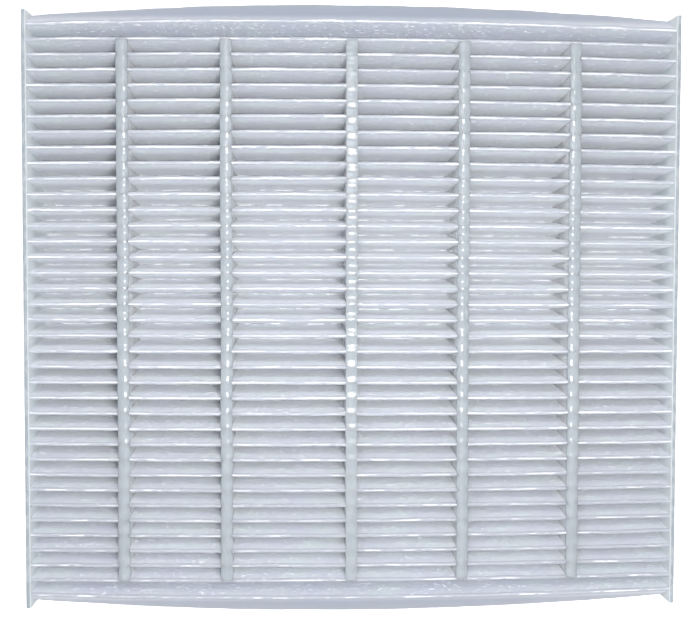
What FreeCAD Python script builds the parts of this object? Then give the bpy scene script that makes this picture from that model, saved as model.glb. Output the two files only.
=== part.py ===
import FreeCAD, Part
import math
import os
import sys

import Sketcher

# Cabin air filter: a zigzag of non-woven filter media, a felt strip glued along each end of
# its pleats, and lines of hot-melt glue that hold the folds apart on the front and the rear.
# It lies on its rear edges. X runs along the folds, Y across the pleats, Z through the depth,
# and the origin is at the middle of the rear face. All lengths are in millimetres.

SIZES = {
    "overall_width": 215.0,  # over the two strips, along the folds
    "filter_depth": 30.0,  # rear edge to front edge of the strips
    "ridge_count": 38,  # folds on the front
    "pleat_pitch": 5.1,  # ridge to ridge
    "strip_overhang": 3.15,  # strip end past the outermost ridge
    "strip_thickness": 1.5,
    "media_thickness": 0.6,
    "fold_inset": 1.0,  # folds lie this far inside the strips' edges, front and rear
    "fold_land": 0.5,  # flat along a creased fold
    "ridge_bow": 1.0,  # outermost ridge, outward at the middle of its length
    "flap_bow": 4.4,  # end flap, outward at the middle past the strips' ends
    "knee_drop": 10.0,  # end ridge's crease down to the centre of the flap's bend
    "knee_radius": 8.0,  # outside of the flap's bend
    "bead_width": 3.8,
    "bead_cover": 0.4,  # glue over the tip of a fold
    "bead_dip": 0.3,  # hollow of the front glue between two folds
    "bead_one_offset": -74.9,  # places of the five glue lines along the folds
    "bead_two_offset": -41.0,
    "bead_three_offset": 0.0,
    "bead_four_offset": 35.5,
    "bead_five_offset": 71.6,
}
BEAD_OFFSETS = (
    "bead_one_offset",
    "bead_two_offset",
    "bead_three_offset",
    "bead_four_offset",
    "bead_five_offset",
)
# Sections of an end pleat, from strip to strip.
END_SECTIONS = 5

# Sizes and places as expressions on the sheet. Y is across the pleats and Z is the height.
PITCH = "sizes.pleat_pitch"
MEDIA = "sizes.media_thickness"
LAND = "sizes.fold_land"
RIDGES = "round(sizes.ridge_count)"
MEDIA_WIDTH = "(sizes.overall_width - 2 * sizes.strip_thickness)"
END_RIDGE_Y = f"(({RIDGES} - 1) / 2 * {PITCH})"
END_REAR_FOLD_Y = f"(({RIDGES} - 2) / 2 * {PITCH})"
STRIP_END_Y = f"({END_RIDGE_Y} + sizes.strip_overhang)"
REAR_FOLD_Z = "sizes.fold_inset"
REAR_CREASE_Z = f"({REAR_FOLD_Z} + {MEDIA})"
FRONT_FOLD_Z = "(sizes.filter_depth - sizes.fold_inset)"
FRONT_CREASE_Z = f"({FRONT_FOLD_Z} - {MEDIA})"
KNEE_Z = f"({FRONT_CREASE_Z} - sizes.knee_drop)"
MID_Z = "(sizes.filter_depth / 2)"

# How a constraint names an edge's points, the sketch's origin and its vertical axis.
START = 1
END = 2
CENTRE = 3
FROM_ORIGIN = (-1, START)
VERTICAL_AXIS = -2

doc = FreeCAD.newDocument("cabin_air_filter")


def make_sheet():
    """The driving dimensions, one named cell each."""
    sheet = doc.addObject("Spreadsheet::Sheet", "sizes")
    for row, (name, size) in enumerate(SIZES.items(), start=1):
        sheet.set(f"A{row}", name)
        sheet.set(f"B{row}", str(size))
        sheet.setAlias(f"B{row}", name)
    doc.recompute()
    return sheet


def value_of(expression):
    """What an expression on the sheet comes to, where the solver needs a starting place."""
    return float(sheet.evalExpression(expression))


def new_body(label):
    body = doc.addObject("PartDesign::Body", label)
    body.Label = label
    return body


def origin_item(body, role):
    """One of the body's own origin planes or axes."""
    return next(item for item in body.Origin.OriginFeatures if item.Role == role)


def new_sketch(body, name, turn=0.0):
    """A sketch across the folds: its x is the part's Y, its y is Z and it faces +X."""
    sketch = body.newObject("Sketcher::SketchObject", name)
    sketch.AttachmentSupport = (origin_item(body, "YZ_Plane"), [""])
    sketch.MapMode = "FlatFace"
    turned = FreeCAD.Rotation(FreeCAD.Vector(0, 0, 1), turn)
    sketch.AttachmentOffset = FreeCAD.Placement(FreeCAD.Vector(), turned)
    return sketch


def on_circle(centre, radius, angle):
    return (centre[0] + radius * math.cos(angle), centre[1] + radius * math.sin(angle))


def outline(sketch, points, bends=None):
    """Draws a closed outline and joins its corners.

    bends holds the edges that are arcs, as edge: (centre, radius, angle). Each arc runs up
    from its centre's level, and its ends are left to be joined smoothly.
    """
    bends = bends or {}
    corners = [FreeCAD.Vector(y, z, 0) for y, z in points]
    edges = []
    for number, (first, last) in enumerate(zip(corners, corners[1:] + corners[:1])):
        if number in bends:
            centre, radius, angle = bends[number]
            middle = FreeCAD.Vector(*centre, 0)
            circle = Part.Circle(middle, FreeCAD.Vector(0, 0, 1), radius)
            shape = Part.ArcOfCircle(circle, 0, angle)
        else:
            shape = Part.LineSegment(first, last)
        edges.append(sketch.addGeometry(shape, False))
    for one, other in zip(edges, edges[1:] + edges[:1]):
        if one not in bends and other not in bends:
            fix(sketch, "Coincident", one, END, other, START)
    return edges


def fix(sketch, kind, *places):
    sketch.addConstraint(Sketcher.Constraint(kind, *places))


def bind(sketch, name, kind, *places):
    """Adds a named dimension; the last of places is the expression that it follows."""
    *ends, expression = places
    constraint = Sketcher.Constraint(kind, *ends, value_of(expression))
    sketch.renameConstraint(sketch.addConstraint(constraint), name)
    sketch.setExpression(f"Constraints.{name}", expression)


def panel_lean(run, rise, thickness):
    """Angle from upright of a panel's faces, between two creases."""
    return math.atan2(run, rise) - math.asin(thickness / math.hypot(run, rise))


def draw_pleat(sketch):
    """One pleat, from the middle of one rear fold to the middle of the next."""
    half, media, land = value_of(f"{PITCH} / 2"), value_of(MEDIA), value_of(f"{LAND} / 2")
    rear, rear_crease = value_of(REAR_FOLD_Z), value_of(REAR_CREASE_Z)
    front, front_crease = value_of(FRONT_FOLD_Z), value_of(FRONT_CREASE_Z)
    wide = media / math.cos(panel_lean(half, front_crease - rear_crease, media))
    edges = outline(
        sketch,
        [
            (-half, rear),
            (land - half, rear),
            (wide - half, rear_crease),
            (0.0, front_crease),
            (half - wide, rear_crease),
            (half - land, rear),
            (half, rear),
            (half, rear_crease),
            (wide, front_crease),
            (land, front),
            (-land, front),
            (-wide, front_crease),
            (-half, rear_crease),
        ],
    )
    rear_land, rear_bevel, rear_left, rear_right, far_bevel, far_land, right_end = edges[:7]
    front_right, right_bevel, ridge, left_bevel, front_left, left_end = edges[7:]
    mirrored = (
        (rear_land, right_end),
        (rear_bevel, far_land),
        (rear_left, far_bevel),
        (left_end, front_right),
        (front_left, right_bevel),
        (left_bevel, ridge),
    )
    for one, other in mirrored:
        fix(sketch, "Symmetric", one, START, other, START, VERTICAL_AXIS)
    fix(sketch, "PointOnObject", rear_left, END, VERTICAL_AXIS)
    fix(sketch, "Horizontal", rear_land)
    fix(sketch, "Vertical", right_end)
    fix(sketch, "Horizontal", rear_bevel, END, left_end, START)
    fix(sketch, "Horizontal", rear_left, END, front_right, END)
    bind(sketch, "pitch", "DistanceX", left_end, START, right_end, END, PITCH)
    bind(sketch, "rear_fold", "DistanceY", *FROM_ORIGIN, rear_land, START, REAR_FOLD_Z)
    bind(sketch, "front_fold", "DistanceY", *FROM_ORIGIN, ridge, START, FRONT_FOLD_Z)
    bind(sketch, "rear_depth", "DistanceY", right_end, START, right_end, END, MEDIA)
    bind(sketch, "front_depth", "DistanceY", rear_left, END, ridge, START, MEDIA)
    bind(sketch, "land", "DistanceX", ridge, END, ridge, START, LAND)
    bind(sketch, "half_land", "DistanceX", rear_land, START, rear_land, END, f"{LAND} / 2")
    bind(sketch, "front_wall", "Distance", rear_left, END, front_right, MEDIA)
    bind(sketch, "rear_wall", "Distance", right_end, END, rear_right, MEDIA)


def draw_end_pleat(sketch, bow):
    """The last half pleat and its flap; bow is 0 at the strips and 1 at mid length."""
    ridge_place = f"{END_RIDGE_Y} + {bow} * sizes.ridge_bow"
    flap_place = f"{STRIP_END_Y} + {bow} * sizes.flap_bow"
    media, land = value_of(MEDIA), value_of(f"{LAND} / 2")
    rear, rear_crease = value_of(REAR_FOLD_Z), value_of(REAR_CREASE_Z)
    front, front_crease = value_of(FRONT_FOLD_Z), value_of(FRONT_CREASE_Z)
    fold_y, ridge_y, flap_y = value_of(END_REAR_FOLD_Y), value_of(ridge_place), value_of(flap_place)
    radius = value_of("sizes.knee_radius")
    inner = radius - media
    knee = (flap_y - radius, value_of(KNEE_Z))
    run, drop = knee[0] - ridge_y, front_crease - knee[1]
    splay = math.acos(-inner / math.hypot(run, drop)) - math.atan2(drop, run)
    lean = panel_lean(ridge_y - fold_y, front_crease - rear_crease, media)
    wide = media / math.cos(lean)
    edges = outline(
        sketch,
        [
            (fold_y, rear),
            (fold_y + land, rear),
            (fold_y + wide, rear_crease),
            (ridge_y, front_crease),
            on_circle(knee, inner, splay),
            (flap_y - media, knee[1]),
            (flap_y - media, rear),
            (flap_y, rear),
            (flap_y, knee[1]),
            on_circle(knee, radius, splay),
            (ridge_y + media / math.cos(splay), front_crease),
            (ridge_y + land, front),
            (ridge_y - land, front),
            (ridge_y - wide, front_crease),
            (fold_y, rear_crease),
        ],
        bends={4: (knee, inner, splay), 8: (knee, radius, splay)},
    )
    rear_land, rear_bevel, rear_panel, inner_slope, inner_bend, inner_wall, foot = edges[:7]
    outer_wall, outer_bend, outer_slope, outer_bevel, ridge, inner_bevel = edges[7:13]
    front_panel, fold_end = edges[13:]
    crease = (rear_panel, END)
    fix(sketch, "Tangent", inner_slope, END, inner_bend, END)
    fix(sketch, "Tangent", inner_bend, START, inner_wall, START)
    fix(sketch, "Tangent", outer_wall, END, outer_bend, START)
    fix(sketch, "Tangent", outer_bend, END, outer_slope, START)
    fix(sketch, "Coincident", inner_bend, CENTRE, outer_bend, CENTRE)
    for upright in (inner_wall, outer_wall, fold_end):
        fix(sketch, "Vertical", upright)
    for level in (rear_land, foot, ridge):
        fix(sketch, "Horizontal", level)
    fix(sketch, "Horizontal", rear_bevel, END, front_panel, END)
    fix(sketch, "Horizontal", *crease, outer_slope, END)
    fix(sketch, "Horizontal", *crease, inner_bevel, END)
    bind(sketch, "last_fold", "DistanceX", *FROM_ORIGIN, rear_land, START, END_REAR_FOLD_Y)
    bind(sketch, "rear_fold", "DistanceY", *FROM_ORIGIN, rear_land, START, REAR_FOLD_Z)
    bind(sketch, "rear_depth", "DistanceY", fold_end, END, fold_end, START, MEDIA)
    bind(sketch, "half_land", "DistanceX", rear_land, START, rear_land, END, f"{LAND} / 2")
    bind(sketch, "rear_wall", "Distance", front_panel, END, rear_panel, MEDIA)
    bind(sketch, "front_wall", "Distance", *crease, front_panel, MEDIA)
    bind(sketch, "flap_wall", "Distance", *crease, outer_slope, MEDIA)
    bind(sketch, "end_ridge", "DistanceX", *FROM_ORIGIN, *crease, ridge_place)
    bind(sketch, "front_fold", "DistanceY", *FROM_ORIGIN, ridge, START, FRONT_FOLD_Z)
    bind(sketch, "front_depth", "DistanceY", *crease, ridge, START, MEDIA)
    bind(sketch, "outer_land", "DistanceX", *crease, outer_bevel, END, f"{LAND} / 2")
    bind(sketch, "inner_land", "DistanceX", ridge, END, *crease, f"{LAND} / 2")
    bind(sketch, "flap", "DistanceX", *FROM_ORIGIN, foot, END, flap_place)
    bind(sketch, "flap_edge", "DistanceY", *FROM_ORIGIN, foot, END, REAR_FOLD_Z)
    bind(sketch, "knee", "DistanceY", *FROM_ORIGIN, outer_bend, CENTRE, KNEE_Z)
    bind(sketch, "outer_radius", "Radius", outer_bend, "sizes.knee_radius")
    bind(sketch, "inner_radius", "Radius", inner_bend, f"sizes.knee_radius - {MEDIA}")


def draw_tooth(sketch, dipped):
    """Glue in one valley and over the folds beside it, with its tip down; z is from mid depth."""
    fold_top, crease_z = f"({FRONT_FOLD_Z} - {MID_Z})", f"({FRONT_CREASE_Z} - {MID_Z})"
    over_fold, before_fold = f"({PITCH} / 2 + {MEDIA})", f"({PITCH} / 2 - {MEDIA})"
    half, media = value_of(f"{PITCH} / 2"), value_of(MEDIA)
    over, side = value_of(over_fold), value_of(before_fold)
    under, crease = value_of(fold_top), value_of(crease_z)
    top = under + value_of("sizes.bead_cover")
    mouth = (under + crease) * math.tan(panel_lean(half, 2 * crease, media))
    points = [
        (-over, under),
        (-mouth, under),
        (0.0, -crease),
        (mouth, under),
        (over, under),
        (over, top),
    ]
    if dipped:
        points += [(side, top), (0.0, top - value_of("sizes.bead_dip")), (-side, top)]
    points.append((-over, top))
    edges = outline(sketch, points)
    left_rest, left_wall, right_wall, right_rest, right_end, right_cap = edges[:6]
    left_cap, left_end = edges[-2:]
    fold_crease = sketch.addGeometry(Part.Point(FreeCAD.Vector(half, crease, 0)), True)
    for level in (right_rest, left_cap):
        fix(sketch, "Horizontal", level)
    for upright in (right_end, left_end):
        fix(sketch, "Vertical", upright)
    fix(sketch, "PointOnObject", left_wall, END, VERTICAL_AXIS)
    fix(sketch, "Symmetric", left_rest, START, right_rest, END, VERTICAL_AXIS)
    fix(sketch, "Symmetric", left_rest, END, right_rest, START, VERTICAL_AXIS)
    bind(sketch, "fold_top", "DistanceY", *FROM_ORIGIN, right_rest, END, fold_top)
    bind(sketch, "tip", "DistanceY", left_wall, END, *FROM_ORIGIN, crease_z)
    bind(sketch, "crease_y", "DistanceX", *FROM_ORIGIN, fold_crease, START, f"{PITCH} / 2")
    bind(sketch, "crease_z", "DistanceY", *FROM_ORIGIN, fold_crease, START, crease_z)
    bind(sketch, "wall", "Distance", fold_crease, START, right_wall, MEDIA)
    bind(sketch, "over_fold", "DistanceX", *FROM_ORIGIN, right_rest, END, over_fold)
    bind(sketch, "cover", "DistanceY", right_end, START, right_end, END, "sizes.bead_cover")
    if dipped:
        right_slope, left_slope = edges[6:8]
        fix(sketch, "Horizontal", right_cap)
        fix(sketch, "PointOnObject", right_slope, END, VERTICAL_AXIS)
        fix(sketch, "Symmetric", right_cap, END, left_slope, END, VERTICAL_AXIS)
        bind(sketch, "cap_side", "DistanceX", *FROM_ORIGIN, right_cap, END, before_fold)
        bind(sketch, "dip", "DistanceY", right_slope, END, right_cap, END, "sizes.bead_dip")


def pad_across(body, sketch, name, length, symmetric):
    pad = body.newObject("PartDesign::Pad", name)
    pad.Profile = sketch
    if symmetric:
        pad.SideType = "Symmetric"
    pad.setExpression("Length", length)
    doc.recompute()
    return pad


def repeat_along_y(body, feature, name, steps):
    """Copies a feature once a pitch, for a number of steps given as an expression."""
    pattern = body.newObject("PartDesign::LinearPattern", name)
    pattern.Originals = [feature]
    pattern.Direction = (origin_item(body, "Y_Axis"), [""])
    pattern.setExpression("Length", f"{steps} * {PITCH}")
    pattern.setExpression("Occurrences", f"{steps} + 1")
    body.Tip = pattern
    doc.recompute()


def make_media():
    """The pleated media: one folded sheet with a bowed flap at each end."""
    body = new_body("pleated_media")
    pleat = new_sketch(body, "pleat_outline")
    draw_pleat(pleat)
    steps = f"({RIDGES} - 3)"
    pleat.setExpression("AttachmentOffset.Base.x", f"-{steps} / 2 * {PITCH}")
    pad = pad_across(body, pleat, "pleat", MEDIA_WIDTH, symmetric=True)
    repeat_along_y(body, pad, "pleats", steps)
    sections = []
    for number in range(END_SECTIONS):
        place = number / (END_SECTIONS - 1) - 0.5
        section = new_sketch(body, f"end_pleat_section_{number}")
        draw_end_pleat(section, bow=1 - (2 * place) ** 2)
        section.setExpression("AttachmentOffset.Base.z", f"{place} * {MEDIA_WIDTH}")
        sections.append(section)
    doc.recompute()
    loft = body.newObject("PartDesign::AdditiveLoft", "end_pleat")
    loft.Profile = sections[0]
    loft.Sections = sections[1:]
    loft.Ruled = True
    body.Tip = loft
    doc.recompute()
    mirrored = body.newObject("PartDesign::Mirrored", "other_end_pleat")
    mirrored.Originals = [loft]
    mirrored.MirrorPlane = (origin_item(body, "XZ_Plane"), [""])
    body.Tip = mirrored
    doc.recompute()
    return body


def make_strip(label, face_x):
    """A felt strip across the ends of the pleats; face_x is the place of its -X face."""
    body = new_body(label)
    body.setExpression("Placement.Base.x", face_x)
    sketch = new_sketch(body, f"{label}_outline")
    end_y, depth = value_of(STRIP_END_Y), value_of("sizes.filter_depth")
    edges = outline(sketch, [(-end_y, 0.0), (end_y, 0.0), (end_y, depth), (-end_y, depth)])
    bottom, right, top, left = edges
    for level in (bottom, top):
        fix(sketch, "Horizontal", level)
    for upright in (right, left):
        fix(sketch, "Vertical", upright)
    fix(sketch, "Symmetric", bottom, START, bottom, END, *FROM_ORIGIN)
    bind(sketch, "length", "DistanceX", bottom, START, bottom, END, f"2 * {STRIP_END_Y}")
    bind(sketch, "depth", "DistanceY", right, START, right, END, "sizes.filter_depth")
    pad_across(body, sketch, f"{label}_pad", "sizes.strip_thickness", symmetric=False)
    return body


def make_bead(label, offset, front):
    """A glue line: a tooth in each valley, joined over the tips of the folds."""
    body = new_body(label)
    body.setExpression("Placement.Base.x", f"sizes.{offset}")
    sketch = new_sketch(body, f"{label}_outline", turn=0.0 if front else 180.0)
    draw_tooth(sketch, dipped=front)
    # Front glue fills the valleys between ridges, rear glue those under the ridges.
    steps = f"({RIDGES} - 4)" if front else f"({RIDGES} - 3)"
    sketch.setExpression("AttachmentOffset.Base.x", f"-{steps} / 2 * {PITCH}")
    sketch.setExpression("AttachmentOffset.Base.y", MID_Z)
    pad = pad_across(body, sketch, f"{label}_tooth", "sizes.bead_width", symmetric=True)
    repeat_along_y(body, pad, f"{label}_teeth", steps)
    return body


def check_document():
    """Stops if an object failed or a sketch is free to move."""
    for item in doc.Objects:
        if "Invalid" in item.State or "Error" in item.State:
            sys.exit(f"{item.Label} failed: {item.State}")
        if item.TypeId == "Sketcher::SketchObject" and not item.FullyConstrained:
            sys.exit(f"{item.Label} isn't fully constrained")


def export(bodies):
    os.makedirs("parts", exist_ok=True)
    for body in bodies:
        shape = body.Shape
        if shape.isNull() or not shape.isValid() or len(shape.Solids) != 1:
            sys.exit(f"{body.Label} isn't one valid solid")
        print(f"{body.Label}: {shape.Volume:.0f} mm3, {len(shape.Faces)} faces")
        shape.exportStep(f"parts/{body.Label}.step")


sheet = make_sheet()
bodies = [
    make_media(),
    make_strip("left_side_strip", "-sizes.overall_width / 2"),
    make_strip("right_side_strip", "sizes.overall_width / 2 - sizes.strip_thickness"),
]
for number, offset in enumerate(BEAD_OFFSETS, start=1):
    bodies.append(make_bead(f"front_bead_{number}", offset, front=True))
    bodies.append(make_bead(f"rear_bead_{number}", offset, front=False))
doc.recompute()
check_document()
export(bodies)
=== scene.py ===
"""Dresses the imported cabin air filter: its pleated media, two side strips and ten glue lines.

Lengths are in metres and places are in the part's own frame: X along the folds, Y across the
pleats, Z from the rear face up to the front.
"""

import logging
import math
from dataclasses import dataclass
from enum import Enum
from typing import Any, Sequence

import bmesh
import bpy
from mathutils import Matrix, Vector, noise


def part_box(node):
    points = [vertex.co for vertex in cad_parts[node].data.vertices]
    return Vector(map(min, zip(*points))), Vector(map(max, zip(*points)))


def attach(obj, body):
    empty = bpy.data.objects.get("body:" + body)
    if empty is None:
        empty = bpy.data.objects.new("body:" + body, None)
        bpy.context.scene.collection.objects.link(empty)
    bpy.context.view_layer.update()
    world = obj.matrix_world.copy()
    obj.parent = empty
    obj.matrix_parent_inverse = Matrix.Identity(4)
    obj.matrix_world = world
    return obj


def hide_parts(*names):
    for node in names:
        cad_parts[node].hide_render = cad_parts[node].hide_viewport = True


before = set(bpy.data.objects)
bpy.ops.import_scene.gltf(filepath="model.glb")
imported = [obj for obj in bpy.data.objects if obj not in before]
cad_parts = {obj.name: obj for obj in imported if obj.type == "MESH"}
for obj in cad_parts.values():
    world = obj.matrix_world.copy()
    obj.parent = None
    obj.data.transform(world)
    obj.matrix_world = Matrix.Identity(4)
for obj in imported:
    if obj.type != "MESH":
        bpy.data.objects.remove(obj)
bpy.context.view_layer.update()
BODY = "root"
MM = 0.001
LOG = logging.getLogger("cabin_air_filter")

Colour = tuple[float, float, float, float]
Triple = tuple[float, float, float]
Pair = tuple[float, float]


class Side(Enum):
    """The two faces of the filter, with the sign of Z that each one looks along."""

    FRONT = 1
    REAR = -1


class Slot(Enum):
    """The record's material slots."""

    MEDIA = "filter_media"
    STRIP = "side_strip"
    GLUE = "glue"


@dataclass(frozen=True)
class FilterSizes:
    """Sizes that several pieces share.

    The solids' boxes give the overall ones, and the others repeat the part's driving sizes.
    """

    half_width: float
    depth: float
    strip_end: float
    ridge_count: int = 38
    pitch: float = 5.1 * MM
    sheet: float = 0.6 * MM
    fold_inset: float = 1.0 * MM
    fold_radius: float = 0.36 * MM
    ridge_bow: float = 1.0 * MM
    flap_bow: float = 4.4 * MM
    knee_radius: float = 8.0 * MM
    knee_height: float = 18.4 * MM

    @classmethod
    def from_frame(cls) -> "FilterSizes":
        """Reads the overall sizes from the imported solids."""
        media_low, media_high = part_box("pleated_media")
        strip_low, strip_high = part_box("left_side_strip")
        return cls(
            half_width=(media_high.x - media_low.x) / 2,
            depth=strip_high.z - strip_low.z,
            strip_end=strip_high.y,
        )

    @property
    def front(self) -> float:
        """Height of the front folds' tips."""
        return self.depth - self.fold_inset

    @property
    def rear(self) -> float:
        """Height of the rear folds' tips."""
        return self.fold_inset

    @property
    def end_ridge(self) -> float:
        """Distance of the outermost ridge from the middle, across the pleats."""
        return (self.ridge_count - 1) / 2 * self.pitch

    @property
    def fold_pin_height(self) -> float:
        """Distance from a fold's tip to the centre of its bend."""
        return self.fold_radius + self.sheet / 2


@dataclass(frozen=True)
class Warp:
    """How the pack in the photograph bows and leans away from straight folds."""

    shift: float = -0.18 * MM
    skew: float = -0.155 * MM
    tilt: float = 0.11 * MM
    twist: float = -0.155 * MM
    squeeze: float = -0.27 * MM
    rim_squeeze: float = -1.2 * MM
    bow: float = 1.62 * MM
    rim_bow: float = -0.65 * MM

    def build(self, tree: "ShapeTree", sizes: FilterSizes, along: Any, across: Any) -> Any:
        """Adds the nodes that work out the warp at a place.

        Args:
            tree: the tree that gets the nodes.
            sizes: the filter's shared sizes.
            along: the place along the folds.
            across: the place across the pleats.

        Returns:
            How far the place moves across the pleats; the end flaps stay.
        """
        u = tree.math("DIVIDE", along, sizes.half_width)
        v = tree.math("DIVIDE", across, sizes.strip_end)
        square = tree.math("MULTIPLY", v, v)
        cube = tree.math("MULTIPLY", square, v)
        arch = tree.math("SUBTRACT", 1.0, tree.math("MULTIPLY", u, u))
        bowed = self.total(tree, 0.0, (v, self.bow), (cube, self.rim_bow))
        leant = self.total(tree, 0.0, (square, self.tilt), (v, self.twist))
        straight = ((u, self.skew), (v, self.squeeze), (cube, self.rim_squeeze))
        total = self.total(tree, self.shift, *straight, (u, leant), (arch, bowed))
        limits = {
            "Value": tree.math("ABSOLUTE", across),
            "From Min": sizes.end_ridge + 0.4 * MM,
            "From Max": sizes.strip_end,
            "To Min": 1.0,
            "To Max": 0.0,
        }
        kept = tree.node("ShaderNodeMapRange", limits, interpolation_type="SMOOTHSTEP").outputs[0]
        return tree.math("MULTIPLY", total, kept)

    @staticmethod
    def total(tree: "ShapeTree", start: float, *products: Sequence[Any]) -> Any:
        """Adds products, each given by its two factors, to a start value."""
        total = start
        for first, second in products:
            total = tree.math("ADD", total, tree.math("MULTIPLY", first, second))
        return total


class Graph:
    """Builds one node tree: adds nodes, feeds their inputs and hands back their outputs."""

    def __init__(self, tree: bpy.types.NodeTree) -> None:
        """Takes the tree that the nodes go into."""
        self.tree = tree

    def feed(self, socket: bpy.types.NodeSocket, value: Any) -> None:
        """Links a socket to an input, or gives the input a plain value."""
        if isinstance(value, bpy.types.NodeSocket):
            self.tree.links.new(value, socket)
        else:
            socket.default_value = value

    def node(self, kind: str, values: dict | None = None, **settings: Any) -> bpy.types.Node:
        """Adds a node.

        Args:
            kind: Blender's name for the node's type.
            values: what goes into its inputs, by name or number.
            **settings: its own properties.

        Returns:
            The new node.
        """
        made = self.tree.nodes.new(kind)
        for name, setting in settings.items():
            setattr(made, name, setting)
        for key, value in (values or {}).items():
            self.feed(made.inputs[key], value)
        return made

    def math(self, operation: str, *values: Any) -> bpy.types.NodeSocket:
        """Adds a Math node and returns its result."""
        return self.node("ShaderNodeMath", dict(enumerate(values)), operation=operation).outputs[0]

    def vector_math(self, operation: str, *values: Any) -> bpy.types.NodeSocket:
        """Adds a Vector Math node and returns its vector."""
        return self.node(
            "ShaderNodeVectorMath", dict(enumerate(values)), operation=operation
        ).outputs[0]

    def vector(self, x: Any, y: Any, z: Any) -> bpy.types.NodeSocket:
        """Puts three numbers together as a vector."""
        return self.node("ShaderNodeCombineXYZ", {"X": x, "Y": y, "Z": z}).outputs[0]

    def parts_of(self, vector: Any) -> Sequence[bpy.types.NodeSocket]:
        """The x, y and z of a vector."""
        return self.node("ShaderNodeSeparateXYZ", {0: vector}).outputs

    def noise(self, vector: Any, detail: float) -> bpy.types.NodeSocket:
        """Adds a Noise Texture and returns its value, which lies about 0.5."""
        values = {"Vector": vector, "Scale": 1.0, "Detail": detail}
        return self.node("ShaderNodeTexNoise", values).outputs[0]


class ShapeTree(Graph):
    """A Geometry Nodes tree with named inputs, applied to a source mesh."""

    def __init__(self, name: str) -> None:
        """Makes an empty tree with a geometry input and output."""
        super().__init__(bpy.data.node_groups.new(name, "GeometryNodeTree"))
        self.identifiers: dict[str, str] = {}
        self.add_inputs("Geometry", "Source")
        self.tree.interface.new_socket("Shape", in_out="OUTPUT", socket_type="NodeSocketGeometry")
        self.start = self.tree.nodes.new("NodeGroupInput")

    def add_inputs(self, kind: str, *names: str) -> None:
        """Adds named inputs of one kind, such as Float."""
        kind = f"NodeSocket{kind}"
        for name in names:
            item = self.tree.interface.new_socket(name, in_out="INPUT", socket_type=kind)
            self.identifiers[name] = item.identifier

    def value(self, name: str) -> bpy.types.NodeSocket:
        """The socket of one of the tree's inputs."""
        return self.start.outputs[name]

    def attribute(self, name: str) -> bpy.types.NodeSocket:
        """A number stored on the points under that name."""
        return self.node(
            "GeometryNodeInputNamedAttribute", {"Name": name}, data_type="FLOAT"
        ).outputs["Attribute"]

    def store(self, shape: Any, name: str, value: Any) -> bpy.types.NodeSocket:
        """Stores a number on the points and returns the geometry that holds it."""
        values = {"Geometry": shape, "Name": name, "Value": value}
        return self.node(
            "GeometryNodeStoreNamedAttribute", values, data_type="FLOAT", domain="POINT"
        ).outputs[0]

    def parted(self, shape: Any, name: str, below: float) -> Sequence[bpy.types.NodeSocket]:
        """Parts a shape in two, by whether a stored number is below a value."""
        chosen = self.math("LESS_THAN", self.attribute(name), below)
        values = {"Geometry": shape, "Selection": chosen}
        return self.node("GeometryNodeSeparateGeometry", values, domain="POINT").outputs

    def waves(self, place: Any) -> bpy.types.NodeSocket:
        """Adds smooth noise that lies about nought."""
        return self.math("SUBTRACT", self.noise(place, 1.0), 0.5)

    def row_of_copies(self, shape: Any, count: Any, step: Any) -> bpy.types.NodeSocket:
        """Repeats a shape along a row that is centred on the origin.

        Args:
            shape: what is repeated.
            count: how many there are.
            step: the vector from one to the next.

        Returns:
            The copies as plain geometry, joined where they meet.
        """
        steps = self.math("SUBTRACT", count, 1.0)
        half = self.math("MULTIPLY", steps, -0.5)
        start = self.node("ShaderNodeVectorMath", {0: step, "Scale": half}, operation="SCALE")
        row = self.node(
            "GeometryNodeMeshLine",
            {"Count": count, "Start Location": start.outputs[0], "Offset": step},
            mode="OFFSET",
        )
        copies = self.node(
            "GeometryNodeInstanceOnPoints", {"Points": row.outputs[0], "Instance": shape}
        )
        return self.node("GeometryNodeRealizeInstances", {0: copies.outputs[0]}).outputs[0]

    def merged(self, *shapes: Any) -> bpy.types.NodeSocket:
        """Joins shapes, and merges the points at which they meet."""
        joined = self.node("GeometryNodeJoinGeometry")
        for shape in shapes:
            self.tree.links.new(shape, joined.inputs[0])
        values = {"Geometry": joined.outputs[0], "Distance": 0.002 * MM}
        return self.node("GeometryNodeMergeByDistance", values).outputs[0]

    def finish(self, shape: Any) -> None:
        """Ends the tree: real geometry, smooth faces and one material."""
        real = self.node("GeometryNodeRealizeInstances", {0: shape}).outputs[0]
        smooth = self.node("GeometryNodeSetShadeSmooth", {"Geometry": real}).outputs[0]
        values = {"Geometry": smooth, "Material": self.value("Material")}
        dressed = self.node("GeometryNodeSetMaterial", values).outputs[0]
        self.node("NodeGroupOutput", {0: dressed})

    def apply(self, source: bpy.types.Mesh, name: str, inputs: dict[str, Any]) -> bpy.types.Object:
        """Runs the tree on a mesh and keeps the result as a plain one.

        Args:
            source: the mesh that goes in.
            name: the new piece's name.
            inputs: values for the tree's inputs, by name.

        Returns:
            An object at the origin with the finished mesh and no modifier.
        """
        piece = link_object(name, source)
        modifier = piece.modifiers.new(name, "NODES")
        modifier.node_group = self.tree
        for key, value in inputs.items():
            modifier[self.identifiers[key]] = value
        evaluated = piece.evaluated_get(bpy.context.evaluated_depsgraph_get())
        mesh = bpy.data.meshes.new_from_object(evaluated)
        piece.modifiers.remove(modifier)
        piece.data = mesh
        mesh.name = name
        return piece


def link_object(name: str, mesh: bpy.types.Mesh) -> bpy.types.Object:
    """Puts a mesh into the scene as an object at the origin."""
    piece = bpy.data.objects.new(name, mesh)
    bpy.context.scene.collection.objects.link(piece)
    return piece


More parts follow.
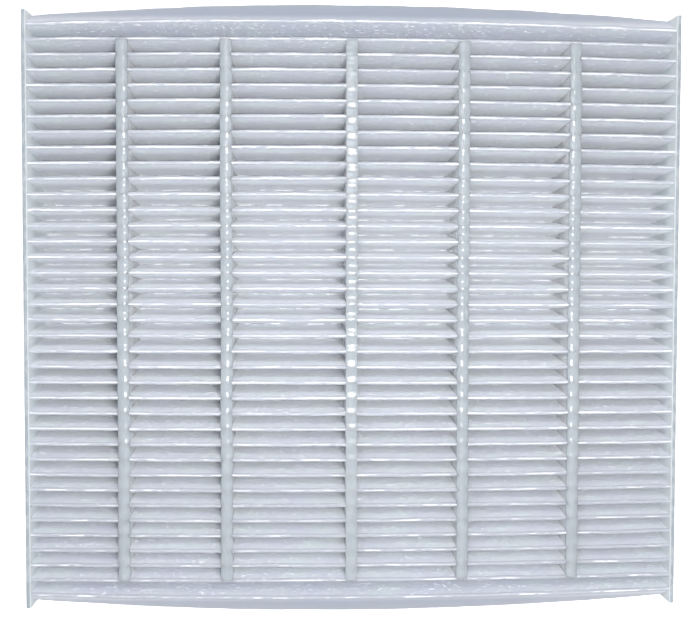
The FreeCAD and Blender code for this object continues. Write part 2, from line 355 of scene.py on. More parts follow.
def tidy_mesh(mesh: bpy.types.Mesh, sharp_degrees: float) -> None:
    """Merges doubles, closes open ends and turns the faces outwards.

    Args:
        mesh: the mesh, changed in place.
        sharp_degrees: edges that turn more than this are shaded as corners.
    """
    work = bmesh.new()
    work.from_mesh(mesh)
    bmesh.ops.remove_doubles(work, verts=work.verts, dist=0.001 * MM)
    rims = [edge for edge in work.edges if edge.is_boundary]
    bmesh.ops.holes_fill(work, edges=rims, sides=0)
    bmesh.ops.recalc_face_normals(work, faces=work.faces)
    for face in work.faces:
        face.smooth = True
    work.to_mesh(mesh)
    work.free()
    mesh.set_sharp_from_angle(angle=math.radians(sharp_degrees))


def loft(name: str, rings: Sequence[Sequence[Sequence[float]]]) -> bpy.types.Mesh:
    """Makes a mesh from closed rings of points, each joined to the next.

    Args:
        name: the mesh's name.
        rings: the rings in order, all with the same number of points.

    Returns:
        The mesh, open at both ends.
    """
    work = bmesh.new()
    made = [[work.verts.new(point) for point in ring] for ring in rings]
    for first, second in zip(made, made[1:]):
        for n in range(len(first)):
            after = (n + 1) % len(first)
            work.faces.new((first[n], first[after], second[after], second[n]))
    mesh = bpy.data.meshes.new(name)
    work.to_mesh(mesh)
    work.free()
    return mesh


def seat(piece: bpy.types.Object, slot: Slot, *nodes: str) -> None:
    """Makes a piece ride on the part in place of the solids that it stands for."""
    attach(piece, BODY)
    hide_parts(*nodes)
    LOG.info("%s: %d faces, for %s", piece.name, len(piece.data.polygons), ", ".join(nodes))


class MaterialGraph(Graph):
    """A material whose surface is one Principled shader, with some light let through."""

    def __init__(self, name: str) -> None:
        """Makes the material and finds its shader."""
        self.material = bpy.data.materials.new(name)
        self.material.use_nodes = True
        super().__init__(self.material.node_tree)
        self.shader = self.tree.nodes["Principled BSDF"]
        self.place = self.node("ShaderNodeTexCoord").outputs["Object"]

    def surface(self, **values: Any) -> None:
        """Feeds the shader's inputs; an underscore stands for a space."""
        for name, value in values.items():
            self.feed(self.shader.inputs[name.replace("_", " ")], value)

    def let_through(self, share: Any, colour: Any) -> None:
        """Lets a share of the light through, scattered in that colour."""
        sheer = self.node("ShaderNodeBsdfTranslucent", {"Color": colour})
        mixed = self.node(
            "ShaderNodeMixShader", {0: share, 1: self.shader.outputs[0], 2: sheer.outputs[0]}
        )
        self.feed(self.tree.nodes["Material Output"].inputs["Surface"], mixed.outputs[0])

    def pattern(self, grain: Triple, detail: float = 2.0) -> bpy.types.NodeSocket:
        """Noise that stays with the object; grain is its features' length along x, y and z."""
        scale = tuple(1 / length for length in grain)
        place = self.node("ShaderNodeMapping", {"Vector": self.place, "Scale": scale})
        return self.noise(place.outputs[0], detail)

    def ramp(self, value: Any, low: float, high: float, out: Pair = (0.0, 1.0)) -> Any:
        """Maps a value softly from low and high onto the two ends of out, and no further."""
        ends = {"From Min": low, "From Max": high, "To Min": out[0], "To Max": out[1]}
        values = {"Value": value, **ends}
        return self.node("ShaderNodeMapRange", values, interpolation_type="SMOOTHSTEP").outputs[0]

    def blend(self, share: Any, first: Any, second: Any) -> bpy.types.NodeSocket:
        """Mixes two colours by a share."""
        mix = self.node("ShaderNodeMix", {0: share, 6: first, 7: second}, data_type="RGBA")
        return mix.outputs[2]

    def bump(self, height: Any, strength: float, distance: float, normal: Any = None) -> Any:
        """Turns a height into a normal, on top of another one where that is given."""
        values = {"Strength": strength, "Distance": distance, "Height": height}
        if normal is not None:
            values["Normal"] = normal
        return self.node("ShaderNodeBump", values).outputs[0]


@dataclass(frozen=True)
class NonWoven:
    """Pale spun-bonded media: fine fibres that lie along the folds, with painted highlights along
    the ridges.

    A grain gives the lengths of a pattern's features, a range says where in its noise a feature
    starts and where it is full, and a relief says how strong and how high a bump is. The fold
    tips and the end flaps are painted darker as shade, and the lower rows get darker painted
    shade on their folds, fewer painted highlights and fewer loose fibres.
    """

    name: str = "pale_non_woven"
    body: Colour = (0.945, 0.975, 0.985, 1.0)
    shade: Colour = (0.925, 0.935, 0.985, 1.0)
    # The glint colour is a painted highlight, laid along the ridge tips in dashes.
    glint: Colour = (0.98, 0.985, 0.995, 1.0)
    # The flap colour is painted shade: the end flaps are the same sheet, painted darker.
    flap: Colour = (0.61, 0.665, 0.77, 1.0)
    # The two fold colours are painted shade: the fold tips, which face the light, are painted darker
    # than the walls, and darker still in the lower rows.
    fold: Colour = (0.735, 0.765, 0.82, 1.0)
    low_row_fold_shade: Colour = (0.675, 0.70, 0.755, 1.0)
    roughness: float = 0.5
    cloud_grain: Triple = (10 * MM, 1.8 * MM, 14 * MM)
    cloud_range: Pair = (0.35, 0.65)
    fibre_grain: Triple = (2.4 * MM, 0.6 * MM, 1.2 * MM)
    fibre_relief: Pair = (0.35, 0.1 * MM)
    loose_grain: Triple = (1.7 * MM, 0.5 * MM, 0.9 * MM)
    loose_range: Pair = (0.625, 0.68)
    loose_lean: float = 1.3
    loose_density: float = 0.8
    ridge_grain: Triple = (6.0 * MM, 1.7 * MM, 40 * MM)
    ridge_range: Pair = (0.36, 0.47)
    crease_grain: Triple = (5.0 * MM, 1.7 * MM, 40 * MM)
    crease_range: Pair = (0.47, 0.57)
    crest_depth: float = 0.07 * MM
    fold_depth: float = 1.2 * MM
    crease_reach: float = 2.6 * MM
    flap_reach: float = 3.5 * MM
    # The lower rows get painted shade on their folds, fewer painted highlights and fewer loose
    # fibres.
    low_shade_rows: Pair = (-70 * MM, -30 * MM)
    low_row_glint_cut: float = 0.12
    low_row_loose_cut: float = 0.45
    sheerness: float = 0.6
    least_sheer: float = 0.35

    def build(self, sizes: FilterSizes) -> bpy.types.Material:
        """Makes the material.

        Args:
            sizes: the filter's shared sizes, which place the ridges.

        Returns:
            The finished material.
        """
        graph = MaterialGraph(self.name)
        across, height = graph.parts_of(graph.place)[1:3]
        outward = graph.math("ABSOLUTE", across)
        flap = graph.ramp(outward, sizes.strip_end - self.flap_reach, sizes.strip_end)
        # How far into the lower rows, where the painted shade is.
        low_row_shade = graph.ramp(across, *self.low_shade_rows, (1.0, 0.0))
        painted_glint = self.ridge_glints(graph, sizes, height, low_row_shade)
        loose = self.loose_fibres(graph, flap, low_row_shade)
        loose = graph.math("MAXIMUM", loose, self.crease_dashes(graph, sizes, height))
        cloud = graph.ramp(graph.pattern(self.cloud_grain), *self.cloud_range)
        # Painted shade on the fold tips.
        fold = graph.ramp(height, sizes.front - self.fold_depth, sizes.front - 0.5 * self.fold_depth)
        colour = graph.blend(cloud, self.shade, self.body)
        # Painted shade on the end flaps.
        colour = graph.blend(flap, colour, self.flap)
        colour = graph.blend(fold, colour, graph.blend(low_row_shade, self.fold, self.low_row_fold_shade))
        # Painted highlight: dashes along the ridges take the glint colour.
        colour = graph.blend(painted_glint, colour, self.glint)
        fibre = graph.pattern(self.fibre_grain, 1.0)
        graph.surface(
            Base_Color=colour,
            Roughness=self.roughness,
            Specular_IOR_Level=0.25,
            Sheen_Weight=1.0,
            Sheen_Roughness=0.5,
            Normal=graph.bump(fibre, *self.fibre_relief, self.lean(graph, loose)),
        )
        dense = graph.math("MULTIPLY", loose, self.loose_density)
        thin = graph.math("SUBTRACT", 1.0, graph.math("MAXIMUM", painted_glint, dense))
        thin = graph.math("MAXIMUM", thin, self.least_sheer)
        graph.let_through(graph.math("MULTIPLY", self.sheerness, thin), colour)
        return graph.material

    def ridge_glints(self, graph: MaterialGraph, sizes: FilterSizes, height: Any, low_row_shade: Any) -> Any:
        """How much painted highlight the ridges get in dashes, with fewer in the lower rows."""
        crest = graph.ramp(height, sizes.front - self.crest_depth, sizes.front)
        held_back = graph.math("MULTIPLY", low_row_shade, self.low_row_glint_cut)
        dash = graph.math("SUBTRACT", graph.pattern(self.ridge_grain), held_back)
        return graph.math("MULTIPLY", crest, graph.ramp(dash, *self.ridge_range))

    def crease_dashes(self, graph: MaterialGraph, sizes: FilterSizes, height: Any) -> Any:
        """How much there is of the light dashes along the creases."""
        low = sizes.rear + sizes.sheet
        near = graph.ramp(height, low + 0.3 * self.crease_reach, low + self.crease_reach, (1.0, 0.0))
        dash = graph.ramp(graph.pattern(self.crease_grain), *self.crease_range)
        return graph.math("MULTIPLY", near, dash)

    def loose_fibres(self, graph: MaterialGraph, flap: Any, low_row_shade: Any) -> Any:
        """How much there is of stray fibres: none on the flaps, and fewer in the lower rows."""
        left = graph.math("SUBTRACT", 1.0, flap)
        left = graph.math("SUBTRACT", left, graph.math("MULTIPLY", low_row_shade, self.low_row_loose_cut))
        streak = graph.ramp(graph.pattern(self.loose_grain, 1.0), *self.loose_range)
        return graph.math("MULTIPLY", streak, graph.math("MAXIMUM", left, 0.0))

    def lean(self, graph: MaterialGraph, loose: Any) -> bpy.types.NodeSocket:
        """Tips loose fibres out of the panels, towards the open side of their valley."""
        normal = graph.node("ShaderNodeNewGeometry").outputs["Normal"]
        side = graph.math("SIGN", graph.parts_of(normal)[2])
        lift = graph.math("MULTIPLY", graph.math("MULTIPLY", side, loose), self.loose_lean)
        leant = graph.vector_math("ADD", normal, graph.vector(0, 0, lift))
        return graph.vector_math("NORMALIZE", leant)


@dataclass(frozen=True)
class Felt:
    """Stiff white felt of the side strips: matted and mottled, with its inner faces painted paler as
    light.
    """

    name: str = "stiff_white_felt"
    body: Colour = (0.45, 0.50, 0.545, 1.0)
    fleck: Colour = (0.57, 0.61, 0.655, 1.0)
    # The inner colour is painted light: the inner faces get little light and are painted much paler
    # than the outer ones.
    inner: Colour = (0.91, 0.955, 0.97, 1.0)
    roughness: float = 0.7
    mottle_grain: Triple = (1.4 * MM, 3 * MM, 8 * MM)
    mottle_range: Pair = (0.4, 0.65)
    fibre_grain: Triple = (0.5 * MM, 1.2 * MM, 3 * MM)
    fibre_relief: Pair = (0.3, 0.1 * MM)
    painted_light_depths: Pair = (0.1 * MM, 0.4 * MM)
    sheerness: float = 0.45

    def build(self, sizes: FilterSizes) -> bpy.types.Material:
        """Makes the material.

        Args:
            sizes: the filter's shared sizes, which say where the strips' inner faces are.

        Returns:
            The finished material.
        """
        graph = MaterialGraph(self.name)
        mottle = graph.ramp(graph.pattern(self.mottle_grain), *self.mottle_range)
        outward = graph.math("ABSOLUTE", graph.parts_of(graph.place)[0])
        low, high = (sizes.half_width + depth for depth in self.painted_light_depths)
        # Painted light on the strips' inner faces.
        painted_light_share = graph.ramp(outward, low, high, (1.0, 0.0))
        colour = graph.blend(mottle, self.body, self.fleck)
        colour = graph.blend(painted_light_share, colour, self.inner)
        fibre = graph.pattern(self.fibre_grain, 1.0)
        graph.surface(
            Base_Color=colour,
            Roughness=self.roughness,
            Specular_IOR_Level=0.25,
            Sheen_Weight=0.3,
            Normal=graph.bump(fibre, *self.fibre_relief),
        )
        graph.let_through(self.sheerness, colour)
        return graph.material


@dataclass(frozen=True)
class Glue:
    """Milky hot-melt glue, smooth and glossy, with painted light that makes it paler down in the
    valleys.
    """

    name: str = "milky_glue"
    body: Colour = (0.63, 0.68, 0.725, 1.0)
    clear: Colour = (0.58, 0.63, 0.68, 1.0)
    # The deep colour is painted light: the flanks down in the valleys lie in shade and are painted
    # much paler than the top.
    deep: Colour = (0.95, 0.975, 0.995, 1.0)
    roughness: float = 0.18
    cloud_grain: Triple = (2.5 * MM, 5 * MM, 4 * MM)
    cloud_range: Pair = (0.35, 0.65)
    skin_grain: Triple = (1.2 * MM, 1.6 * MM, 1.6 * MM)
    skin_relief: Pair = (0.15, 0.2 * MM)
    deep_from: float = 1.6 * MM
    deep_to: float = 3.5 * MM
    scatter: float = 2.5 * MM
    sheerness: Pair = (0.45, 0.1)

    def build(self, sizes: FilterSizes) -> bpy.types.Material:
        """Makes the material.

        Args:
            sizes: the filter's shared sizes, which say where the valleys' mouths are.

        Returns:
            The finished material.
        """
        graph = MaterialGraph(self.name)
        cloud = graph.ramp(graph.pattern(self.cloud_grain), *self.cloud_range)
        middle = sizes.depth / 2
        height = graph.parts_of(graph.place)[2]
        reach = graph.math("ABSOLUTE", graph.math("SUBTRACT", height, middle))
        # Painted light on the flanks down in the valleys; the same share sets how much light goes
        # through.
        inside = graph.ramp(reach, middle - self.deep_to, middle - self.deep_from, (1.0, 0.0))
        colour = graph.blend(cloud, self.clear, self.body)
        colour = graph.blend(inside, colour, self.deep)
        skin = graph.pattern(self.skin_grain, 1.0)
        graph.surface(
            Base_Color=colour,
            Roughness=self.roughness,
            Specular_IOR_Level=0.3,
            Subsurface_Weight=1.0,
            Subsurface_Radius=(1.0, 1.0, 1.0),
            Subsurface_Scale=self.scatter,
            Normal=graph.bump(skin, *self.skin_relief),
        )
        graph.let_through(graph.ramp(inside, 0.0, 1.0, self.sheerness), colour)
        return graph.material


@dataclass(frozen=True)
class Pin:
    """A round that the middle of the sheet runs over (side 1) or under (side -1)."""

    y: float
    z: float
    radius: float
    side: int

    def towards(self, other: "Pin") -> float:
        """Angle of the sheet's upper normal on the straight run from this pin to another."""
        run, rise = other.y - self.y, other.z - self.z
        lean = (self.side * self.radius - other.side * other.radius) / math.hypot(run, rise)
        return math.atan2(rise, run) + math.acos(lean)

    def point(self, angle: float, offset: float = 0.0) -> Pair:
        """Where the sheet is at that angle of its normal, offset along the normal."""
        reach = self.side * self.radius + offset
        return (self.y + reach * math.cos(angle), self.z + reach * math.sin(angle))


@dataclass(frozen=True)
class Station:
    """One place on the sheet's section: its two faces and how far it bows at mid length."""

    front: Pair
    rear: Pair
    bow: float = 0.0


@dataclass
class PleatedMedia:
    """The folded sheet with its two bowed end flaps."""

    sizes: FilterSizes
    columns: int = 122
    tip_steps: int = 4
    crease_steps: int = 2
    knee_steps: int = 6
    sway: float = 0.5 * MM
    lift: float = 0.25 * MM
    slow_waves: Triple = (16 * MM, 4.3 * MM, 30 * MM)
    quick_waves: Triple = (3.5 * MM, 1.9 * MM, 12 * MM)
    tremble: float = 0.35
    flat: Pair = (0.212, 2.11)
    seed: float = 4.0
    warp: Warp = Warp()
    name: str = "folded_media"

    def fold(self, y: float, side: Side) -> Pin:
        """The pin of a front or rear fold at that place."""
        inset = self.sizes.fold_pin_height
        front = side is Side.FRONT
        height = self.sizes.front - inset if front else self.sizes.rear + inset
        return Pin(y, height, self.sizes.fold_radius, side.value)

    def bend(self, pin: Pin, start: float, end: float, steps: int, bow: float) -> list[Station]:
        """Stations round a pin, from one angle of the normal to another."""
        angles = [start + (end - start) * step / steps for step in range(steps + 1)]
        return [self.station(pin, angle, bow) for angle in angles]

    def station(self, pin: Pin, angle: float, bow: float = 0.0) -> Station:
        """The two faces of the sheet where it touches a pin."""
        half = self.sizes.sheet / 2
        return Station(pin.point(angle, half), pin.point(angle, -half), bow)

    @staticmethod
    def between(first: Station, second: Station) -> Station:
        """The place half-way along a straight run."""
        front = tuple((a + b) / 2 for a, b in zip(first.front, second.front))
        rear = tuple((a + b) / 2 for a, b in zip(first.rear, second.rear))
        return Station(front, rear)

    def ridge(self) -> list[Station]:
        """A front fold, from the middle of one panel to the middle of the next."""
        return self.turn(Side.FRONT, Side.REAR, self.tip_steps)

    def crease(self) -> list[Station]:
        """A rear fold, from the middle of one panel to the middle of the next."""
        return self.turn(Side.REAR, Side.FRONT, self.crease_steps)

    def turn(self, side: Side, other: Side, steps: int) -> list[Station]:
        """The sheet round one fold, with half of the panel on either side.

        Args:
            side: the face that the fold points to.
            other: the face that its neighbours point to.
            steps: how finely the bend is divided.

        Returns:
            The stations from the middle of one panel to the middle of the next.
        """
        half = self.sizes.pitch / 2
        before, pin, after = self.fold(-half, other), self.fold(0.0, side), self.fold(half, other)
        start, end = before.towards(pin), pin.towards(after)
        bent = self.bend(pin, start, end, steps, 0.0)
        return [
            self.between(self.station(before, start), bent[0]),
            *bent,
            self.between(bent[-1], self.station(after, end)),
        ]

    def end_pleat(self) -> list[Station]:
        """The last half pleat, its bend and its flap, down to the foot."""
        sizes = self.sizes
        before = self.fold(sizes.end_ridge - sizes.pitch / 2, Side.REAR)
        ridge = self.fold(sizes.end_ridge, Side.FRONT)
        knee = Pin(
            sizes.strip_end - sizes.knee_radius,
            sizes.knee_height,
            sizes.knee_radius - sizes.sheet / 2,
            Side.FRONT.value,
        )
        rise, slope = before.towards(ridge), ridge.towards(knee)
        tip = self.bend(ridge, rise, slope, self.tip_steps, sizes.ridge_bow)
        bent = self.bend(knee, slope, 0.0, self.knee_steps, sizes.flap_bow)
        feet = []
        for share in (0.5, 1.0):
            height = knee.z + (sizes.rear - knee.z) * share
            front, rear = (bent[-1].front[0], height), (bent[-1].rear[0], height)
            feet.append(Station(front, rear, sizes.flap_bow))
        start = self.between(self.station(before, rise), tip[0])
        return [start, *tip, *bent, *feet]

    def section(self) -> bpy.types.Mesh:
        """The section's ridge, crease and end, each as a flat strip of faces."""
        chains = {0.0: self.ridge(), 1.0: self.crease(), 2.0: self.end_pleat()}
        points, faces, bows, kinds = [], [], [], []
        for kind, chain in chains.items():
            first = len(points)
            for place in chain:
                points.extend([(*place.front, 0.0), (*place.rear, 0.0)])
                bows.extend([place.bow] * 2)
                kinds.extend([kind] * 2)
            corners = range(first, len(points) - 2, 2)
            faces.extend((n, n + 1, n + 3, n + 2) for n in corners)
        mesh = bpy.data.meshes.new("pleat_section")
        mesh.from_pydata(points, [], faces)
        for name, values in (("bow", bows), ("kind", kinds)):
            mesh.attributes.new(name, "FLOAT", "POINT").data.foreach_set("value", values)
        return mesh

    def tree(self) -> ShapeTree:
        """The tree that repeats the section, sweeps it along the folds and lets it sway."""
        tree = ShapeTree("pleat_pack")
        tree.add_inputs("Int", "Pleats", "Columns")
        tree.add_inputs("Float", "Pitch", "Width", "Sway", "Lift", "Seed")
        tree.add_inputs("Material", "Material")
        ridge, others = tree.parted(tree.value("Source"), "kind", below=0.5)
        crease, end = tree.parted(others, "kind", below=1.5)
        mirrored = tree.node(
            "GeometryNodeTransform", {"Geometry": end, "Scale": (-1.0, 1.0, 1.0)}
        ).outputs[0]
        pleats = tree.value("Pleats")
        step = tree.vector(tree.value("Pitch"), 0.0, 0.0)
        ridges = tree.row_of_copies(ridge, pleats, step)
        creases = tree.row_of_copies(crease, tree.math("ADD", pleats, 1.0), step)
        strip = tree.merged(ridges, creases, end, mirrored)
        across, height, _ = tree.parts_of(tree.node("GeometryNodeInputPosition").outputs[0])
        strip = tree.store(strip, "across", across)
        strip = tree.store(strip, "height", height)
        half = tree.math("MULTIPLY", tree.value("Width"), 0.5)
        swept = self.sweep(tree, strip, half)
        tree.finish(self.settle(tree, swept, half))
        return tree

    @staticmethod
    def sweep(tree: ShapeTree, strip: Any, half: Any) -> bpy.types.NodeSocket:
        """Draws the strip's outline along the folds, with the strip itself at both ends."""
        faces = tree.node("GeometryNodeInputMeshEdgeNeighbors").outputs[0]
        values = {"Mesh": strip, "Selection": tree.math("LESS_THAN", faces, 1.5)}
        outline = tree.node("GeometryNodeMeshToCurve", values).outputs[0]
        low, high = tree.math("MULTIPLY", half, -1.0), half
        line = tree.node(
            "GeometryNodeCurvePrimitiveLine",
            {"Start": tree.vector(low, 0.0, 0.0), "End": tree.vector(high, 0.0, 0.0)},
        ).outputs[0]
        line = tree.node(
            "GeometryNodeResampleCurve", {"Curve": line, "Count": tree.value("Columns")}
        ).outputs[0]
        tube = tree.node(
            "GeometryNodeCurveToMesh", {"Curve": line, "Profile Curve": outline}
        ).outputs[0]
        caps = [
            tree.node(
                "GeometryNodeSetPosition", {"Geometry": strip, "Position": tree.vector(x, 0.0, 0.0)}
            ).outputs[0]
            for x in (low, high)
        ]
        joined = tree.node("GeometryNodeJoinGeometry")
        for shape in (tube, *caps):
            tree.tree.links.new(shape, joined.inputs[0])
        return joined.outputs[0]

    @staticmethod
    def ripples(tree: ShapeTree, place: Sequence[Any], lengths: Triple, shift: Any) -> Any:
        """Adds smooth noise of given wavelengths.

        Args:
            tree: the tree that gets the nodes.
            place: the place along, across and up the sheet.
            lengths: how long the waves are in those directions.
            shift: moves it, for another set of waves.

        Returns:
            The noise at the place, about nought.
        """
        x, y, z = (tree.math("DIVIDE", part, length) for part, length in zip(place, lengths))
        return tree.waves(tree.vector(x, y, tree.math("ADD", z, shift)))

    def settle(self, tree: ShapeTree, swept: Any, half: Any) -> bpy.types.NodeSocket:
        """Puts the swept sheet in its place, bowed at its ends and swaying a little.

        Args:
            tree: the tree that gets the nodes.
            swept: the sheet.
            half: half of its width.

        Returns:
            The settled sheet.
        """
        along = tree.parts_of(tree.node("GeometryNodeInputPosition").outputs[0])[0]
        across, height = tree.attribute("across"), tree.attribute("height")
        share = tree.math("DIVIDE", along, half)
        arch = tree.math("SUBTRACT", 1.0, tree.math("MULTIPLY", share, share))
        bow = tree.math("MULTIPLY", tree.attribute("bow"), arch)
        bow = tree.math("MULTIPLY", bow, tree.math("SIGN", across))
        place = (along, across, height)
        seed = tree.value("Seed")
        swaying = self.ripples(tree, place, self.slow_waves, seed)
        back = tree.math("MULTIPLY", seed, -1.0)
        trembling = self.ripples(tree, place, self.quick_waves, back)
        both = tree.math("ADD", swaying, tree.math("MULTIPLY", trembling, self.tremble))
        sway = tree.math("MULTIPLY", both, tree.value("Sway"))
        lift = tree.math("MULTIPLY", both, tree.value("Lift"))
        moved = across
        for shift in (bow, sway, self.warp.build(tree, self.sizes, along, across)):
            moved = tree.math("ADD", moved, shift)
        settled = tree.vector(along, moved, tree.math("ADD", height, lift))
        values = {"Geometry": swept, "Position": settled}
        return tree.node("GeometryNodeSetPosition", values).outputs[0]

    def build(self, finish: NonWoven) -> bpy.types.Object:
        """Makes the sheet.

        Args:
            finish: what the sheet is made of.

        Returns:
            The finished piece.
        """
        inputs = {
            "Pleats": self.sizes.ridge_count - 2,
            "Pitch": self.sizes.pitch,
            "Width": 2 * self.sizes.half_width,
            "Columns": self.columns,
            "Sway": self.sway,
            "Lift": self.lift,
            "Seed": self.seed,
            "Material": finish.build(self.sizes),
        }
        piece = self.tree().apply(self.section(), self.name, inputs)
        tidy_mesh(piece.data, sharp_degrees=60.0)
        seat(piece, Slot.MEDIA, "pleated_media")
        return piece


@dataclass
class GlueLine:
    """A line of glue: a tooth in each valley, joined over the tips of the folds."""

    sizes: FilterSizes
    node: str
    side: Side
    teeth: int
    crown: float = 0.45 * MM
    cover: float = 0.4 * MM
    dip: float = 0.2 * MM
    embed: float = 0.15 * MM
    wander: float = 0.5 * MM
    spread: float = 0.6 * MM
    shift: float = 0.0
    seed: float = 0.0
    crown_points: int = 7
    flank_points: int = 5

    def profile(self) -> list[Triple]:
        """Stations across one valley.

        Returns:
            The stations in order, each with its place, the glue's top and its underside. Heights
            are measured from mid depth, with the glue's top at the positive side.
        """
        sizes = self.sizes
        reach = sizes.depth / 2 - sizes.fold_inset
        deepest = 0.75 * sizes.sheet - reach
        half = sizes.pitch / 2
        mouth = half - sizes.sheet + self.embed
        inner = (mouth * share for share in (0.97, 0.72, 0.45, 0.2))
        across = [half, half - 0.25 * MM, mouth + 0.05 * MM, *inner]
        stations = []
        for y in (*(-value for value in across), 0.0, *reversed(across)):
            over_valley = 0.5 + 0.5 * math.cos(math.pi * y / half)
            top = reach + self.cover - self.dip * over_valley
            inside = max(0.0, 1 - abs(y) / mouth)
            under = reach - 2 * reach * inside if abs(y) < mouth else reach - 0.1 * MM
            stations.append((y, top, max(under, deepest)))
        return stations

    def tooth(self, half_width: float) -> bpy.types.Mesh:
        """One valley's glue, open at both ends, where it joins the next.

        Args:
            half_width: half of the line's width.

        Returns:
            The tooth, about the middle of its valley.
        """
        rings = []
        for y, top, under in self.profile():
            loop = []
            for step in range(self.crown_points):
                share = 2 * step / (self.crown_points - 1) - 1
                loop.append((share * half_width, top - self.crown * share**2))
            shoulder = top - self.crown
            steps = range(1, self.flank_points + 1)
            flank = [shoulder + (under - shoulder) * step / self.flank_points for step in steps]
            loop.extend((half_width, z) for z in flank)
            loop.extend((-half_width, z) for z in reversed(flank))
            ring = []
            for x, z in loop:
                depth = min(1.0, max(0.0, (top - z) / self.sizes.depth))
                spread = x + math.copysign(self.spread * depth**2, x)
                turned = self.sizes.depth / 2 + self.side.value * z
                ring.append((spread, y, turned))
            rings.append(ring)
        return loft("glue_tooth", rings)

    @staticmethod
    def tree(sizes: FilterSizes, warp: Warp) -> ShapeTree:
        """The tree that repeats a tooth and lets the line wander a little.

        Args:
            sizes: the filter's shared sizes.
            warp: how the pack is bowed, which the teeth follow.

        Returns:
            The finished tree.
        """
        tree = ShapeTree("glue_line")
        tree.add_inputs("Int", "Teeth")
        tree.add_inputs("Float", "Pitch", "Offset", "Wander", "Seed")
        tree.add_inputs("Material", "Material")
        step = tree.vector(0.0, tree.value("Pitch"), 0.0)
        row = tree.row_of_copies(tree.value("Source"), tree.value("Teeth"), step)
        row = tree.merged(row)
        x, y, z = tree.parts_of(tree.node("GeometryNodeInputPosition").outputs[0])
        seed = tree.value("Seed")
        drift_length, shiver_length, swelling = 30 * MM, 4 * MM, 0.1
        slow = tree.waves(tree.vector(tree.math("DIVIDE", y, drift_length), seed, 0.0))
        quick = tree.waves(tree.vector(tree.math("DIVIDE", y, shiver_length), 3.0, seed))
        drift = tree.math("MULTIPLY", slow, tree.value("Wander"))
        shiver = tree.math("MULTIPLY", quick, tree.value("Wander"))
        swell = tree.math("ADD", 1.0, tree.math("MULTIPLY", quick, swelling))
        moved = tree.math("ADD", tree.value("Offset"), tree.math("MULTIPLY", x, swell))
        moved = tree.math("ADD", moved, tree.math("ADD", drift, shiver))
        followed = tree.math("ADD", y, warp.build(tree, sizes, moved, y))
        values = {"Geometry": row, "Position": tree.vector(moved, followed, z)}
        tree.finish(tree.node("GeometryNodeSetPosition", values).outputs[0])
        return tree

    def build(self, tree: ShapeTree, material: bpy.types.Material) -> bpy.types.Object:
        """Makes the line where its solid is.

        Args:
            tree: the tree that all the lines share.
            material: the glue.

        Returns:
            The finished piece.
        """
        low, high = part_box(self.node)
        inputs = {
            "Teeth": self.teeth,
            "Pitch": self.sizes.pitch,
            "Offset": (low.x + high.x) / 2 + self.shift,
            "Wander": self.wander,
            "Seed": self.seed,
            "Material": material,
        }
        source = self.tooth((high.x - low.x) / 2)
        piece = tree.apply(source, self.node.replace("bead", "glue_line"), inputs)
        tidy_mesh(piece.data, sharp_degrees=55.0)
        seat(piece, Slot.GLUE, self.node)
        return piece


@dataclass
class SideStrip:
    """A felt strip across the ends of the pleats, with a soft, slightly ragged outline."""

    node: str
    rows: int = 130
    corner: float = 0.3 * MM
    corner_steps: int = 3
    ragged: float = 0.12 * MM
    grain: float = 2.2 * MM

    def section(self, low: Vector, high: Vector) -> list[Pair]:
        """The strip's rounded section, in x and z."""
        inner = (
            (high.x - self.corner, high.z - self.corner),
            (low.x + self.corner, high.z - self.corner),
            (low.x + self.corner, low.z + self.corner),
            (high.x - self.corner, low.z + self.corner),
        )
        points = []
        for number, (x, z) in enumerate(inner):
            for step in range(self.corner_steps + 1):
                angle = math.pi / 2 * (number + step / self.corner_steps)
                points.append((x + self.corner * math.cos(angle), z + self.corner * math.sin(angle)))
        return points

    def build(self, material: bpy.types.Material) -> bpy.types.Object:
        """Makes the strip where its solid is and returns the piece."""
        low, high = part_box(self.node)
        rings = []
        for row in range(self.rows + 1):
            y = low.y + (high.y - low.y) * row / self.rows
            ring = []
            for x, z in self.section(low, high):
                rough = noise.noise_vector(Vector((x, y, z)) / self.grain)
                ring.append(Vector((x, y, z)) + rough * self.ragged * 0.5)
            rings.append(ring)
        mesh = loft(self.node, rings)
        mesh.materials.append(material)
        tidy_mesh(mesh, sharp_degrees=50.0)
        piece = link_object(self.node.replace("side_strip", "felt_strip"), mesh)
        seat(piece, Slot.STRIP, self.node)
        return piece


@dataclass
class GlueLines:
    """All the glue: five lines on the front and five on the rear.

    The front ones lie a little to one side of their solids, and one pair is flat-topped.
    """

    sizes: FilterSizes
    front_shifts: tuple[float, ...] = (-0.6 * MM, -0.85 * MM, -0.7 * MM, 0.7 * MM, 1.4 * MM)
    flat_topped: int = 3
    flat_crown: float = 0.12 * MM

    def build(self) -> list[bpy.types.Object]:
        """Makes the lines and returns them."""
        material = Glue().build(self.sizes)
        tree = GlueLine.tree(self.sizes, Warp())
        made = []
        for number, shift in enumerate(self.front_shifts, start=1):
            for side in Side:
                front = side is Side.FRONT
                line = GlueLine(
                    self.sizes,
                    node=f"{side.name.lower()}_bead_{number}",
                    side=side,
                    teeth=self.sizes.ridge_count - (3 if front else 2),
                    shift=shift if front else 0.0,
                    seed=number * 7.3 + side.value,
                )
                if number == self.flat_topped:
                    line.crown = self.flat_crown
                made.append(line.build(tree, material))
        return made


def seen_directly(graph: Graph) -> bpy.types.NodeSocket:
    """Tells what is seen from what only gives light.

    Args:
        graph: the material or world that gets the nodes.

    Returns:
        1 for what the camera sees, also in a gloss or through glass, and 0 for scattered light.
    """
    rays = graph.node("ShaderNodeLightPath").outputs
    seen = graph.math("ADD", rays["Is Camera Ray"], rays["Is Glossy Ray"])
    seen = graph.math("MINIMUM", graph.math("ADD", seen, rays["Is Transmission Ray"]), 1.0)
    return graph.math("MULTIPLY", seen, graph.math("SUBTRACT", 1.0, rays["Is Diffuse Ray"]))


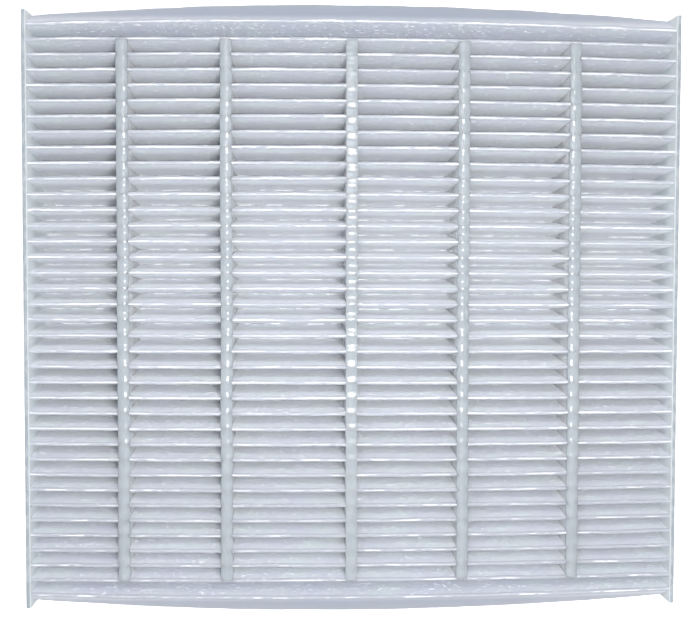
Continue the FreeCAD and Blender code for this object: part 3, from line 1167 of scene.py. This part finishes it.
@dataclass(frozen=True)
class Lamp:
    """A rectangular lamp that shines down.

    Its tilt is in degrees: above nought it turns to the upper rows, below nought to the lower.
    """

    name: str
    place: Triple
    size: Pair
    watts: float
    tilt: float = 0.0

    def build(self) -> None:
        """Hangs the lamp in its place."""
        light = bpy.data.lights.new(self.name, "AREA")
        light.shape = "RECTANGLE"
        light.size, light.size_y = self.size
        light.energy = self.watts
        piece = bpy.data.objects.new(self.name, light)
        piece.location = self.place
        piece.rotation_euler = (math.radians(self.tilt), 0.0, 0.0)
        bpy.context.scene.collection.objects.link(piece)


@dataclass(frozen=True)
class Studio:
    """A pale floor, a key lamp beside the camera, two weak lamps, and even light all round."""

    floor_half: float = 3.0
    floor_drop: float = 0.05 * MM
    key: Lamp = Lamp("key", (0.017, 0.017, 0.434), (0.10, 0.012), 1.96, tilt=-25.0)
    fill: Lamp = Lamp("fill", (-0.04, 0.17, 0.434), (0.16, 0.08), 0.66)
    lift: Lamp = Lamp("lift", (-0.02, -0.16, 0.434), (0.16, 0.08), 0.15)
    sky: float = 0.28
    backdrop: float = 0.8

    def build(self) -> None:
        """Makes the floor, the lamps and the world."""
        self.build_floor()
        for lamp in (self.key, self.fill, self.lift):
            lamp.build()
        self.build_world()

    def build_floor(self) -> None:
        """Makes the floor that the filter lies on."""
        reach, low = self.floor_half, -self.floor_drop
        mesh = bpy.data.meshes.new("floor")
        corners = ((-reach, -reach), (reach, -reach), (reach, reach), (-reach, reach))
        mesh.from_pydata([(x, y, low) for x, y in corners], [], [(0, 1, 2, 3)])
        floor = link_object("floor", mesh)
        graph = MaterialGraph("pale_floor")
        graph.surface(
            Base_Color=(0.86, 0.86, 0.86, 1.0),
            Roughness=0.8,
            Emission_Color=(1.0, 1.0, 1.0, 1.0),
            Emission_Strength=graph.math("MULTIPLY", seen_directly(graph), self.backdrop),
        )
        mesh.materials.append(graph.material)

    def build_world(self) -> None:
        """Even light, seen as white by the camera."""
        world = bpy.data.worlds.new("studio")
        world.use_nodes = True
        bpy.context.scene.world = world
        graph = Graph(world.node_tree)
        background = world.node_tree.nodes["Background"]
        lift = graph.math("MULTIPLY", seen_directly(graph), 1 - self.sky)
        strength = graph.math("ADD", lift, self.sky)
        graph.feed(background.inputs["Color"], (1.0, 1.0, 1.0, 1.0))
        graph.feed(background.inputs["Strength"], strength)


@dataclass(frozen=True)
class Viewpoint:
    """Where the photograph was taken from, found from the ridges and the outline in it."""

    location: Triple = (-0.0178, 0.0189, 0.434)
    turn: Triple = (-0.0463, -0.0391, 0.0021)
    lens: float = 63.8
    sensor: float = 36.0

    def build(self) -> bpy.types.Object:
        """Makes the camera, looking down on the filter, and returns it."""
        camera = bpy.data.cameras.new("camera")
        camera.lens = self.lens
        camera.sensor_width = self.sensor
        camera.clip_start = 0.01
        piece = bpy.data.objects.new("camera", camera)
        piece.location = self.location
        piece.rotation_euler = self.turn
        bpy.context.scene.collection.objects.link(piece)
        bpy.context.scene.camera = piece
        return piece


def main() -> None:
    """Builds the stage and every piece in order."""
    logging.basicConfig(level=logging.INFO, format="%(message)s")
    bpy.context.scene.view_settings.view_transform = "Standard"
    sizes = FilterSizes.from_frame()
    Viewpoint().build()
    Studio().build()
    PleatedMedia(sizes).build(NonWoven())
    felt = Felt().build(sizes)
    for node in ("left_side_strip", "right_side_strip"):
        SideStrip(node).build(felt)
    GlueLines(sizes).build()


if __name__ == "__main__":
    main()
